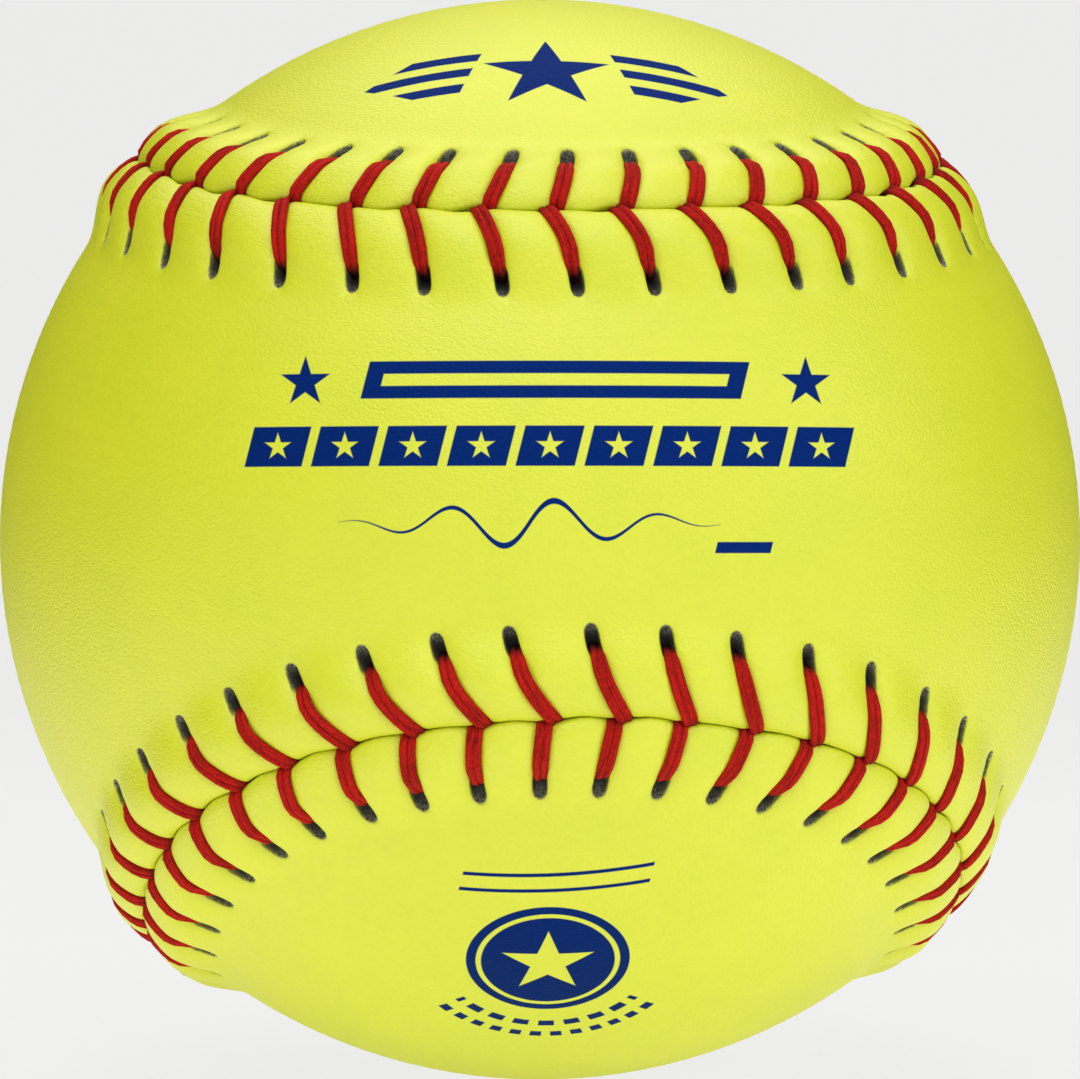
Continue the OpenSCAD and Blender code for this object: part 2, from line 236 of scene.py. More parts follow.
class Seam:
    """The figure-eight seam and its stitches, on the curve and at the places that the solids have, in mm."""

    def __init__(self):
        size = self.size = settings()
        self.ball_r = size.girth / math.tau
        self.turns = np.linspace(0, math.tau, SEAM_STEPS + 1)
        steps = np.linalg.norm(np.diff(self.curve(self.turns), axis=0), axis=1)
        self.runs = np.concatenate([[0], np.cumsum(steps)]) * self.ball_r
        self.length = self.runs[-1]
        self.pitch = self.length / size.stitches
        self.lie = np.array(Matrix.Rotation(math.pi / 2, 3, "X") @ Matrix.Rotation(size.lie_roll, 3, "Z")
                            @ Matrix.Rotation(size.lie_turn, 3, "Y") @ Matrix.Rotation(-size.lie_tilt, 3, "X"))
        rng = np.random.default_rng(SEED)
        count = size.stitches
        self.crossing_stray = rng.normal(0, size.jitter, count) * 0.6
        self.hole_stray = {side: rng.normal(0, size.jitter, count) for side in (FRONT, BACK)}
        self.puff_stray = {side: rng.uniform(-1, 1, count) * size.puff for side in (FRONT, BACK)}
        self.wander = rng.normal(0, WANDER, 2 * count)
        self.gape = GAPE * rng.uniform(0, 1, count) ** 2
        self.spread_stray = {side: rng.uniform(0.9, 1.08, count) for side in (FRONT, BACK)}

    def curve(self, t):
        return unit(np.stack([
            np.sin(t) + THIRD_SHARE * np.sin(3 * t) + FIFTH_SHARE * np.sin(5 * t),
            np.cos(t) - THIRD_SHARE * np.cos(3 * t) + FIFTH_SHARE * np.cos(5 * t),
            RISE_SHARE * np.cos(2 * t) + RIPPLE_SHARE * np.cos(6 * t)], axis=-1))

    def turn_at(self, run):
        return np.interp(np.mod(run, self.length), self.runs, self.turns)

    def beside(self, run, distance):
        """Direction of the point at a run along the seam and a distance beside it, positive in front."""
        t = self.turn_at(run)
        step = math.tau / SEAM_STEPS
        point = self.curve(t)
        way = unit(self.curve(t + step) - self.curve(t - step))
        bend = (distance / self.ball_r)[..., None]
        return point * np.cos(bend) + np.cross(way, point) * np.sin(bend)

    def stray(self, values, place):
        """A value given for each stitch, or twice for each, at any place between stitches."""
        count = len(values)
        return np.interp(place * count / self.size.stitches, np.arange(count), values, period=count)

    def entry(self, side):
        return self.size.front_entry if side == FRONT else self.size.back_entry

    def slot_end(self, side):
        return self.size.front_slot if side == FRONT else self.size.back_slot

    def leg_run(self, place, side):
        """Where a leg leaves the groove, along the seam."""
        size = self.size
        share = place / size.stitches * math.tau
        return (size.first_stitch + place * self.pitch + size.stitch_creep * np.cos(share)
                - size.stitch_sway * np.sin(4 * share) - side * size.legs_apart / 2
                + self.stray(self.crossing_stray, place))

    def leg_lean(self, place, side):
        """How far a leg's needle hole lies ahead of its groove end."""
        size = self.size
        share = place / size.stitches * math.tau
        sway = size.back_sway * np.sin(2 * share) if side == BACK else 0
        return (size.lean + sway + side * size.lean_swing * np.cos(2 * share)
                - side * size.lean_ease * (1 + np.cos(share)) / 2 + self.stray(self.hole_stray[side], place))

    def line(self, place, side, distance):
        """Direction of the point at a distance from the seam on the line of a leg, or between two legs."""
        share = distance / self.entry(side)
        bow = BOW_SHARE * np.sin(math.pi * np.clip(share, 0, 1))
        slope = 1 - BOW_SHARE * math.pi
        past = 1 + slope * REACH_SHARE * (1 - np.exp((1 - np.maximum(share, 1)) / REACH_SHARE))
        reach = np.where(share < 1, share + bow, past)
        return self.beside(self.leg_run(place, side) + self.leg_lean(place, side) * reach, side * distance)

    def side_reach(self, place, side, distance):
        """How far apart, square to the legs, two places one stitch apart are."""
        step = 0.01
        across = self.line(place + step, side, distance) - self.line(place - step, side, distance)
        along = unit(self.line(place, side, distance + step) - self.line(place, side, distance - step))
        return np.linalg.norm(np.cross(along, across), axis=-1) * self.ball_r / (2 * step)

    def roll(self, distance):
        """Height of the leather midway between two stitches."""
        size = self.size
        climb = np.clip((size.roll_crest - distance) / size.roll_crest, 0, 1)
        fall = np.clip((distance - size.roll_crest) / (size.roll_end - size.roll_crest), 0, 1)
        rise = size.lip_h + (size.roll_h - size.lip_h) * np.sqrt(1 - climb ** 2)
        return np.where(distance < size.roll_crest, rise, size.roll_h * (1 + np.cos(math.pi * fall)) / 2)

    def settle(self, directions, distance):
        """How much lower the roll lies, on the ball's right side."""
        size = self.size
        share = eased(directions @ self.lie[0], [0.45, 0.8], [0, 1])
        return size.settle * share * self.roll(distance) / size.roll_h

    def press(self, distance, side):
        """How far a leg presses the leather down beneath it."""
        entry = self.entry(side)
        knots = [0, self.size.roll_crest, entry - 0.4, entry + 0.4, entry + PRESS_END]
        return eased(distance, knots, PRESS_DEPTHS)


def puff_share(offset, half):
    """How far the leather has risen at an offset from a leg, from 0 beside the thread to 1 between two legs."""
    thread_edge = 0.52
    share = np.clip((np.abs(offset) - thread_edge) / (half - thread_edge), 0, 1)
    return (1 - (1 - share) ** 2.6) ** 0.65


def slot_spot(offset, distance, seam, side):
    """Place inside a needle hole: 0 at its middle and 1 at its rim."""
    size = seam.size
    entry = seam.entry(side)
    middle = entry + (seam.slot_end(side) - size.slot_near) / 2
    half = (seam.slot_end(side) + size.slot_near) / 2
    return np.sqrt((offset / (size.slot_w / 2)) ** 2 + (np.abs(distance - middle) / half) ** SLOT_POWER)


def panel_rows(seam, side):
    """Distances of a panel's near rows from the seam, from the lip outwards."""
    size = seam.size
    entry = seam.entry(side)
    turn = np.linspace(0, math.pi / 2, CREST_ROWS)
    crest = size.roll_crest * (1 - np.cos(turn))
    hole_start = entry + HOLE_ROWS_FROM
    hole_end = entry + HOLE_ROWS_TO
    slope = np.linspace(size.roll_crest, hole_start, SLOPE_ROWS + 1)[1:]
    hole = np.linspace(hole_start, hole_end, HOLE_ROWS + 1)[1:]
    fade = hole_end + (NEAR_END - hole_end) * np.linspace(0, 1, FADE_ROWS + 1)[1:] ** 1.3
    return np.concatenate([crest, slope, hole, fade])


def column_places(seam, reach):
    """Each column's place in stitches, its offset from its leg in mm, and half the way to the next leg.

    reach holds the distance between legs, for each row and stitch."""
    count = seam.size.stitches
    columns = np.arange(count * STITCH_COLUMNS + 1)
    stitch = (columns + HALF_COLUMNS) // STITCH_COLUMNS
    step = columns - stitch * STITCH_COLUMNS
    nominal = np.array(COLUMN_OFFSETS)[np.abs(step)]
    tight = COLUMN_OFFSETS[TIGHT_COLUMNS]
    half = reach[:, stitch % count] / 2
    wide = tight + (nominal - tight) * (half - tight) / (COLUMN_OFFSETS[-1] - tight)
    offset = np.where(nominal > tight, wide, nominal) * np.sign(step)
    return stitch + offset / (2 * half), offset, half


def lip_shift(seam, side, place, puff):
    """How far the lip stands off the seam line, and how far both lips wander towards the front panel."""
    size = seam.size
    near = np.round(place)
    above = eased(seam.line(near, side, 0 * near) @ seam.lie[2], [0, 0.5], [LOWER_GAPE, 1])
    behind = (place - near + GAPE_BEHIND) / GAPE_LENGTH
    gape = above * seam.gape[near.astype(int) % size.stitches] * np.exp(-behind ** 2)
    gap = LIP_GAP + THREAD_GAP * (1 - puff) + gape
    crossing = place - side * size.legs_apart / (2 * seam.pitch)
    wander = seam.stray(seam.wander, crossing) - SCALLOP * np.cos(math.tau * crossing)
    return gap, side * wander


def panel_points(seam, side):
    """Places of a panel's points in mm, row by row, with each point's offset from its leg and from the seam.

    The rows run from the panel's middle line to the lip, down the lip's wall and back below the leather."""
    size = seam.size
    count = size.stitches
    ball_r = seam.ball_r
    distances = panel_rows(seam, side)
    stitches = np.arange(count)
    grid_place, grid_distance = np.meshgrid(stitches, distances)
    place, offset, half = column_places(seam, seam.side_reach(grid_place, side, grid_distance))
    distance = np.broadcast_to(distances[:, None], place.shape)
    puff = puff_share(offset, half)
    gap, wander = lip_shift(seam, side, place, puff)
    spread = distance + gap * np.exp(-distance / 0.5) + wander * np.exp(-distance / 1.6)
    directions = seam.line(place, side, spread)

    uneven = seam.stray(seam.puff_stray[side], place - 0.5) * eased(distance, [0, 2.6, 8.4], [0.3, 1, 0])
    height = (seam.roll(distance) + uneven * puff - seam.press(distance, side) * (1 - puff)
              - seam.settle(directions, distance))
    spot = slot_spot(offset, distance, seam, side)
    depth = eased(spot, [0.72, 1.02], [1, 0])
    entry = seam.entry(side)
    floor = eased(distance, [entry, entry + seam.slot_end(side)], [-size.slot_depth, -size.slot_end_depth])
    height = height + (floor - height) * depth
    near = directions * (ball_r + height)[..., None]

    even_place, even_offset, _ = column_places(seam, np.full((1, count), seam.pitch))
    turn = seam.turn_at((even_place[0] + 0.5) * seam.pitch)
    fold = np.arcsin(np.sin(turn) if side == FRONT else np.cos(turn)) * 2 / math.pi
    a = MIDDLE_END * fold
    zero = np.zeros_like(a)
    middle = np.stack([np.sin(a), zero, np.cos(a)] if side == FRONT else [zero, np.sin(a), -np.cos(a)], -1)
    edge = unit(near[-1])

    def far(rows, radius):
        share = np.linspace(0, 1, rows + 1)[1:, None, None]
        bend = np.arccos(np.clip((edge * middle).sum(-1), -1, 1))[None, :, None]
        return (edge * np.sin((1 - share) * bend) + middle * np.sin(share * bend)) / np.sin(bend) * radius

    wall_d = gap[:1] + np.array([[0.03]]) + wander[:1]
    wall = seam.line(place[:1], side, wall_d) * (ball_r - 0.3)
    under_d = np.array(UNDER_DISTANCES)[:, None] + gap[:1] + wander[:1]
    under = seam.line(np.broadcast_to(even_place, under_d.shape), side, under_d) * (ball_r - size.seam_t)
    points = np.concatenate([far(FAR_ROWS, ball_r)[::-1], near[::-1], wall, under,
                             far(UNDER_FAR_ROWS, ball_r - size.cover_t)])

    inside = np.full((1 + len(under) + UNDER_FAR_ROWS, 1), -1.0)
    beyond = NEAR_END + np.linspace(1, FAR_ROWS, FAR_ROWS)[::-1, None]
    away = np.concatenate([np.broadcast_to(part, (len(part), place.shape[1]))
                           for part in (beyond, distance[::-1], inside)])
    beside = np.concatenate([np.broadcast_to(even_offset, (FAR_ROWS, place.shape[1])), offset[::-1],
                             np.broadcast_to(even_offset, (len(inside), place.shape[1]))])
    return points, beside, away


def flat_grid(bm, columns, rows):
    """Adds a flat grid of columns by rows faces, from 0 to 1 each way, with its UV map."""
    made = bmesh.ops.create_grid(bm, x_segments=columns, y_segments=rows, size=0.5, calc_uvs=True)
    bmesh.ops.translate(bm, verts=made["verts"], vec=(0.5, 0.5, 0))


def grid_places(values, columns, rows):
    """Column and row numbers of points that lie on a flat grid from 0 to 1."""
    return np.rint(values[:, 0] * columns).astype(int), np.rint(values[:, 1] * rows).astype(int)


def read_floats(items, name, width):
    values = np.empty(len(items) * width)
    items.foreach_get(name, values)
    return values.reshape(-1, width)


def link_piece(name, mesh, material, slot, *nodes):
    """Adds a finished mesh to the scene as a piece that stands for these nodes."""
    piece = bpy.data.objects.new(name, mesh)
    bpy.context.scene.collection.objects.link(piece)
    mesh.materials.append(material)
    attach(piece, "root")
    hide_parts(*nodes)
    return piece


def close_mesh(mesh, cap_sides=0):
    """Merges the seams of a mesh, caps open ends, points its faces outwards and shades it smooth."""
    bm = bmesh.new()
    bm.from_mesh(mesh)
    bmesh.ops.remove_doubles(bm, verts=bm.verts, dist=MM * MM)
    if cap_sides:
        bmesh.ops.holes_fill(bm, edges=bm.edges, sides=cap_sides)
    bmesh.ops.recalc_face_normals(bm, faces=bm.faces)
    for face in bm.faces:
        face.smooth = True
    bm.to_mesh(mesh)
    bm.free()


def panel_mesh(seam, side):
    """One leather panel as a closed shell, with a UV map of each point's place beside its leg, in mm."""
    points, beside, away = panel_points(seam, side)
    rows, columns = points.shape[0] - 1, points.shape[1] - 1
    mesh = bpy.data.meshes.new("cover_panel_" + SIDE_NAMES[side])
    bm = bmesh.new()
    bm.loops.layers.uv.new("leg")
    flat_grid(bm, columns, rows)
    bm.to_mesh(mesh)
    bm.free()

    column, row = grid_places(read_floats(mesh.vertices, "co", 3), columns, rows)
    mesh.vertices.foreach_set("co", (points[row, column] @ seam.lie.T * MM).ravel())
    layer = mesh.uv_layers["leg"].data
    corner_column, corner_row = grid_places(read_floats(layer, "uv", 2), columns, rows)
    face_column = np.repeat(corner_column.reshape(-1, 4).min(axis=1), 4)
    leg_column = (face_column + HALF_COLUMNS) // STITCH_COLUMNS * STITCH_COLUMNS
    step = corner_column - leg_column
    size_there = np.abs(beside[corner_row, corner_column])
    places = np.stack([size_there * np.sign(step), away[corner_row, corner_column]], axis=-1)
    layer.foreach_set("uv", places.ravel())
    close_mesh(mesh)
    return mesh


def leg_rings(seam, side):
    """Middles of a leg's rings for every stitch, as places and heights, and each ring's spread and lift."""
    entry = seam.entry(side)
    shares = np.array(LEG_SHARES) * entry
    groove = np.array(GROOVE_DIVE[side])
    hole = np.array(HOLE_DIVE[side]) + [entry, 0]
    seat = SEAT_SHARE * seam.size.strand_t / 2
    resting = seam.roll(shares) - seam.press(shares, side) + seat
    distance = np.concatenate([groove[:, 0], shares, hole[:, 0]])
    height = np.concatenate([groove[:, 1], resting, hole[:, 1]])
    dive = hole[0, 0]
    tight = np.clip((distance - dive + 0.55) / 0.9, 0, 1)
    spread = eased(distance, [-0.2, 0.5, dive - 0.5, dive + 0.5], SPREADS)
    return distance, height, spread, tight


def leg_mesh(seam, side):
    """The visible legs on one panel: for each stitch two flat strands, side by side."""
    size = seam.size
    count = size.stitches
    distance, height, spread, tight = leg_rings(seam, side)
    rings = len(distance)
    stitch, ring_distance = np.meshgrid(np.arange(count), distance, indexing="ij")
    directions = seam.line(stitch, side, ring_distance)
    middle = directions * (seam.ball_r + height - seam.settle(directions, ring_distance))[..., None]
    along = unit(np.gradient(middle, axis=1))
    across = unit(np.cross(along, directions))
    up = np.cross(across, along)

    mesh = bpy.data.meshes.new("stitches_" + SIDE_NAMES[side])
    bm = bmesh.new()
    bm.loops.layers.uv.new("strand")
    for _ in range(count * len(STRANDS)):
        flat_grid(bm, STRAND_SIDES, rings - 1)
    bm.to_mesh(mesh)
    bm.free()

    round_turn = np.linspace(0, math.tau, STRAND_SIDES + 1)
    strands = []
    for strand in STRANDS:
        half = size.strand_w / 2 * STRAND_GAP_SHARE * spread * seam.spread_stray[side][:, None]
        shift = strand * half + TIGHT_SHIFT * tight * side
        lift = TIGHT_LIFT * tight * (strand * side < 0)
        centre = middle + across * shift[..., None] + up * lift[None, :, None]
        thin = 1 - TIGHT_THIN * tight[None, :, None, None]
        ring = (across[:, :, None] * (np.cos(round_turn) * size.strand_w / 2)[:, None]
                + up[:, :, None] * (np.sin(round_turn) * size.strand_t / 2)[:, None]) * thin
        strands.append(centre[:, :, None] + ring)
    points = np.stack(strands, axis=1).reshape(-1, rings, STRAND_SIDES + 1, 3)

    places = read_floats(mesh.vertices, "co", 3)
    column, row = grid_places(places, STRAND_SIDES, rings - 1)
    tube = np.arange(len(places)) // ((STRAND_SIDES + 1) * rings)
    mesh.vertices.foreach_set("co", (points[tube, row, column] @ seam.lie.T * MM).ravel())
    close_mesh(mesh, STRAND_SIDES)
    return mesh


class Value:
    """A number, colour or vector that varies over a surface, with Python's arithmetic on numbers."""

    def __init__(self, nodes, output):
        self.nodes = nodes
        self.output = output

    def math(self, operation, *others, clamp=False):
        return self.nodes.math(operation, self, *others, clamp=clamp)

    def __add__(self, other):
        return self.math("ADD", other)

    __radd__ = __add__

    def __sub__(self, other):
        return self.math("SUBTRACT", other)

    def __rsub__(self, other):
        return self.nodes.math("SUBTRACT", other, self)

    def __mul__(self, other):
        return self.math("MULTIPLY", other)

    __rmul__ = __mul__

    def __truediv__(self, other):
        return self.math("DIVIDE", other)

    def __pow__(self, other):
        return self.math("POWER", other)

    def __neg__(self):
        return self.math("MULTIPLY", -1)

    def __abs__(self):
        return self.math("ABSOLUTE")

    def inside(self, soft=0.07):
        """A mask that is 1 where a distance is below zero, with an edge this soft in mm."""
        return (0.5 - self / soft).math("ADD", 0, clamp=True)

    def step(self, low, high):
        """A smooth step from 0 at low to 1 at high."""
        return self.nodes.add("ShaderNodeMapRange", {"interpolation_type": "SMOOTHSTEP"},
                              {"Value": self, "From Min": low, "From Max": high})

    def wrap(self, half):
        return self.math("WRAP", half, -half)


class Nodes:
    """The node tree of a new material with one Principled shader."""

    def __init__(self, name, **constants):
        self.material = bpy.data.materials.new(name)
        self.material.use_nodes = True
        self.tree = self.material.node_tree
        self.shader = self.tree.nodes["Principled BSDF"]
        for socket, value in constants.items():
            self.shader.inputs[socket.replace("_", " ")].default_value = value

    def add(self, kind, settings, sockets, output=0):
        """Adds a node of a kind, with its settings first and then the values or links of its sockets."""
        node = self.tree.nodes.new(kind)
        for name, value in settings.items():
            setattr(node, name, value)
        for key, value in sockets.items():
            if isinstance(value, Value):
                self.tree.links.new(value.output, node.inputs[key])
            else:
                node.inputs[key].default_value = value
        return Value(self, node.outputs[output])

    def math(self, operation, *values, clamp=False):
        return self.add("ShaderNodeMath", {"operation": operation, "use_clamp": clamp},
                        dict(enumerate(values)))

    def smaller(self, *values):
        """The smallest of several numbers."""
        result = values[0]
        for value in values[1:]:
            result = result.math("MINIMUM", value)
        return result

    def larger(self, *values):
        """The largest of several numbers."""
        result = values[0]
        for value in values[1:]:
            result = result.math("MAXIMUM", value)
        return result

    def place(self):
        """The place on the object, in mm."""
        coords = self.add("ShaderNodeTexCoord", {}, {}, "Object")
        return self.add("ShaderNodeVectorMath", {"operation": "SCALE"}, {0: coords, "Scale": 1 / MM})

    def uv(self, name):
        """The two numbers of a UV map."""
        place = self.add("ShaderNodeUVMap", {"uv_map": name}, {})
        return self.part(place, 0), self.part(place, 1)

    def part(self, vector, axis):
        return self.add("ShaderNodeSeparateXYZ", {}, {0: vector}, axis)

    def joined(self, x, y, z=0.0):
        return self.add("ShaderNodeCombineXYZ", {}, {0: x, 1: y, 2: z})

    def dot(self, vector, way):
        return self.add("ShaderNodeVectorMath", {"operation": "DOT_PRODUCT"}, {0: vector, 1: way}, "Value")

    def stretched(self, vector, scales):
        return self.add("ShaderNodeVectorMath", {"operation": "MULTIPLY"}, {0: vector, 1: scales})

    def noise(self, vector, scale, detail=2.0, roughness=0.5, distortion=0.0):
        return self.add("ShaderNodeTexNoise", {}, {"Vector": vector, "Scale": scale, "Detail": detail,
                                                   "Roughness": roughness, "Distortion": distortion})

    def mix(self, share, first, second):
        """A colour between two colours."""
        def rgba(value):
            return value if isinstance(value, Value) else (*value, 1)
        return self.add("ShaderNodeMix", {"data_type": "RGBA"}, {0: share, 6: rgba(first), 7: rgba(second)}, 2)

    def bump(self, height, distance):
        """Bump from a height whose 1 stands this many mm high."""
        return self.add("ShaderNodeBump", {}, {"Height": height, "Distance": distance * MM, "Strength": 1.0})

    def feed(self, socket, value):
        self.tree.links.new(value.output, self.shader.inputs[socket])

    def surface(self, share, second):
        """Mixes the Principled shader with a second one, by a share that varies over the surface."""
        mixer = self.tree.nodes.new("ShaderNodeMixShader")
        self.tree.links.new(share.output, mixer.inputs[0])
        self.tree.links.new(self.shader.outputs[0], mixer.inputs[1])
        self.tree.links.new(second.outputs[0], mixer.inputs[2])
        self.tree.links.new(mixer.outputs[0], self.tree.nodes["Material Output"].inputs["Surface"])

    def overprint(self, mask, relief, tint):
        """Lays dull ink of one colour over the surface where the mask is 1."""
        ink = self.tree.nodes.new("ShaderNodeBsdfPrincipled")
        ink.inputs["Base Color"].default_value = (*tint, 1)
        ink.inputs["Roughness"].default_value = 0.6
        ink.inputs["Specular IOR Level"].default_value = 0.04
        self.tree.links.new(relief.output, ink.inputs["Normal"])
        self.surface(mask, ink)


def star_distance(nodes, x, y, radius):
    """Distance outside a five-pointed star of this radius that stands at the origin."""
    tenth = math.radians(36)
    inner = radius * math.sin(math.radians(18)) / math.sin(math.radians(126))
    side = (radius - inner * math.cos(tenth), inner * math.sin(tenth))
    long = math.hypot(*side)
    reach = nodes.math("SQRT", x * x + y * y)
    turn = abs(nodes.math("ARCTAN2", x, y).wrap(tenth))
    across = reach * turn.math("SINE")
    up = reach * turn.math("COSINE") - radius
    return across * (side[0] / long) + up * (side[1] / long)


def bar_distance(nodes, x, y, half_w, half_h, slant=0.0):
    """Distance outside a bar at the origin, with ends that lean by slant."""
    return nodes.larger(abs(x - y * slant) - half_w, abs(y) - half_h)


def front_marks(nodes, place):
    """Printed marks on the front panel's waist: a hollow ribbon, starred blocks, and a wave with a dash."""
    x = nodes.part(place, 0)
    z = nodes.part(place, 2)
    slant = 0.25
    stars = star_distance(nodes, abs(x - 1.2) - 18.8, z - 11.8, 2.0)
    upper_x, upper_z = x - 1.15, z - 11.9
    upper = nodes.larger(bar_distance(nodes, upper_x, upper_z, 14.2, 1.4, slant),
                         -bar_distance(nodes, upper_x, upper_z, 12.9, 0.45, slant))
    lower_x, lower_z = x - 0.75, z - 6.95
    beads = star_distance(nodes, lower_x.wrap(2.55), lower_z, 1.05)
    blocks = abs((lower_x - lower_z * slant).wrap(2.55)) - 2.2
    lower = nodes.larger(bar_distance(nodes, lower_x, lower_z, 22.7, 1.5, slant), blocks, -beads)
    wave_x = x + 0.8
    fade = 1 - abs(wave_x) / 15
    wave_z = z - 1.2 - (wave_x * 0.8).math("SINE") * fade * 1.9
    wave = nodes.larger(abs(wave_z) - fade * 0.26, abs(wave_x) - 14.2)
    dash = bar_distance(nodes, x - 15.2, z + 0.6, 2.1, 0.42, slant)
    shown = nodes.smaller(stars, upper, lower, wave, dash)
    facing = -nodes.part(place, 1)
    return nodes.larger(shown, -facing).inside()


def tangent(nodes, place, elevation):
    """Place on the plane that touches the ball's front at an elevation, and how far it faces that way."""
    c, s = math.cos(elevation), math.sin(elevation)
    return nodes.dot(place, (1, 0.02, 0)), nodes.dot(place, (0, s, c)), nodes.dot(place, (0, -c, s))


def lobe_marks(nodes, place):
    """Printed marks on the back panel's lobes: a winged star above, and a ringed star with dashes below."""
    x, y, facing = tangent(nodes, place, math.radians(55))
    side = abs(x)
    star = star_distance(nodes, x, y, 5.2)
    rows = nodes.larger(abs((y - 0.4).wrap(1.15)) - 0.6, abs(y - 0.4) - 3.0)
    wings = nodes.larger(rows, 6.0 - side - y * 0.3, side - 14.2 + abs(y - 0.4) * 1.3)
    upper = nodes.larger(nodes.smaller(star, wings), 20 - facing)

    x, y, facing = tangent(nodes, place, math.radians(-47))
    reach = nodes.math("SQRT", x * x + y * y)
    disc = nodes.larger(reach - 6.3, -(abs(reach - 5.35) - 0.2), -star_distance(nodes, x, y, 3.7))
    turn = nodes.math("ARCTAN2", x, -y)
    arc = abs(turn) - math.radians(52)
    outer = nodes.larger(abs(reach - 8.6) - 0.42, abs((turn * 8.6).wrap(1.0)) - 0.62)
    inner = nodes.larger(abs(reach - 10.5) - 0.42, abs((turn * 10.5 + 0.8).wrap(0.8)) - 0.45)
    dashes = nodes.larger(nodes.smaller(outer, inner), arc * 9)
    rules = nodes.larger(abs(abs(y - 8.7 - x * 0.03) - 0.75) - 0.17, abs(x - y * 0.2 + 1.2) - 7.2)
    lower = nodes.larger(nodes.smaller(disc, dashes, rules), 20 - facing)
    return nodes.smaller(upper, lower).inside()


def leather(side, marks):
    """Pebbled optic-yellow leather with a broad soft gloss, needle holes painted with shade and showing raw
    fibres, and printed marks.
    """
    colours = bpy.context.scene.ball_colours
    size = settings()
    nodes = Nodes("leather_" + SIDE_NAMES[side], Specular_IOR_Level=0.9)
    place = nodes.place()
    beside, away = nodes.uv("leg")

    grain = nodes.noise(nodes.stretched(place, (1.0, 1.0, 1.4)), 3.3, 3.0, 0.6, 0.4)
    cells = nodes.add("ShaderNodeTexVoronoi", {"feature": "F1"},
                      {"Vector": nodes.stretched(place, (0.8, 0.8, 1.1)), "Scale": 4.4, "Randomness": 1.0})
    mottle = nodes.noise(place, 0.16, 3.0, 0.55)
    fleck = nodes.noise(place, 1.3, 2.0, 0.6)
    drawn = nodes.joined(beside * 0.5, away * 2.6, nodes.part(place, 0) * 0.25)
    creases = nodes.noise(drawn, 1.0, 3.0, 0.6, 0.6)
    near = away.step(8.5, 3.0) * away.step(0.2, 1.2)

    entry = size.front_entry if side == FRONT else size.back_entry
    end = size.front_slot if side == FRONT else size.back_slot
    middle = entry + (end - size.slot_near) / 2
    half = (end + size.slot_near) / 2
    across = beside / (size.slot_w / 2)
    ahead = abs(away - middle) / half
    rim = nodes.math("SQRT", across * across + ahead ** SLOT_POWER) + (grain - 0.5) * 0.12
    # Mask of the needle hole, which gets a painted shade colour, with raw fibres showing towards its far end
    hole = rim.step(1.16, 0.92)
    fluff = nodes.noise(place, 5.5, 3.0, 0.7, 0.3).step(0.38, 0.62)
    fibres = fluff * away.step(entry + end * 0.35, entry + end)
    groove = away.step(0.12, -0.3)

    tone = nodes.mix((mottle - 0.35) * 1.1 + (fleck - 0.5) * 0.5 + (grain - 0.5) * 0.6, colours.leather,
                     colours.leather_deep)
    dim = nodes.mix(groove * 0.6, tone, colours.groove)
    inside = nodes.mix(fibres * 0.8, colours.hole, colours.fibre)
    nodes.feed("Base Color", nodes.mix(hole, dim, inside))
    nodes.feed("Roughness", 0.5 + (grain - 0.5) * 0.25 + hole * 0.3)
    height = grain * 0.55 - cells * cells * 0.6 + creases * near * 0.9
    relief = nodes.bump(height, 0.052)
    nodes.feed("Normal", relief)
    nodes.overprint(marks(nodes, place), relief, colours.marks)
    return nodes.material


def thread_finish(name):
    """Waxed red thread: streaks that run along each strand, with painted shade in the furrows and, on the
    visible legs, painted shade at both ends where they dive out of sight.
    """
    colours = bpy.context.scene.ball_colours
    nodes = Nodes(name, Specular_IOR_Level=0.12)
    place = nodes.place()
    if name == "thread":
        around, along = nodes.uv("strand")
        drawn = nodes.joined(around * 9, along * 2.2, nodes.part(place, 0) * 0.3)
        streaks = nodes.noise(drawn, 1.0, 3.0, 0.65, 0.8)
    else:
        streaks = nodes.noise(place, 2.2, 3.0, 0.6)
    fluff = nodes.noise(place, 4.5, 3.0, 0.7)
    # Raised parts of the relief keep the thread's red; the furrows between get a darker red that is partly
    # painted shade and partly random streak tone
    raised = streaks.step(0.34, 0.6) * 0.5 + fluff.step(0.38, 0.64) * 0.5
    tone = nodes.mix(raised, colours.thread_furrow_shade, colours.thread)
    if name == "thread":
        # Painted shade at both ends of each strand: near black at the needle hole, darker at the groove end
        tone = nodes.mix(along.step(0.8, 0.96) + along.step(0.26, 0.08) * 0.6, tone, colours.thread_dive_shade)
    nodes.feed("Base Color", tone)
    nodes.feed("Roughness", 0.78 - (streaks - 0.5) * 0.2)
    nodes.feed("Normal", nodes.bump(streaks * 0.5 + fluff * 0.9, 0.045))
    return nodes.material


def plain_finish(name, base, darker, scale, roughness, depth):
    """A moulded or spread finish, with a faint mottle and grain."""
    nodes = Nodes(name, Specular_IOR_Level=0.4)
    place = nodes.place()
    mottle = nodes.noise(place, scale / 4, 3.0)
    grain = nodes.noise(place, scale, 3.0, 0.6)
    nodes.feed("Base Color", nodes.mix(mottle, base, darker))
    nodes.feed("Roughness", roughness + (grain - 0.5) * 0.2)
    nodes.feed("Normal", nodes.bump(grain, depth))
    return nodes.material


def dress_node(name, material):
    """Gives a CAD node a finish in place of its plain colour."""
    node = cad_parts[name]
    for slot in node.material_slots:
        slot.material = material
    if not node.material_slots:
        node.data.materials.append(material)


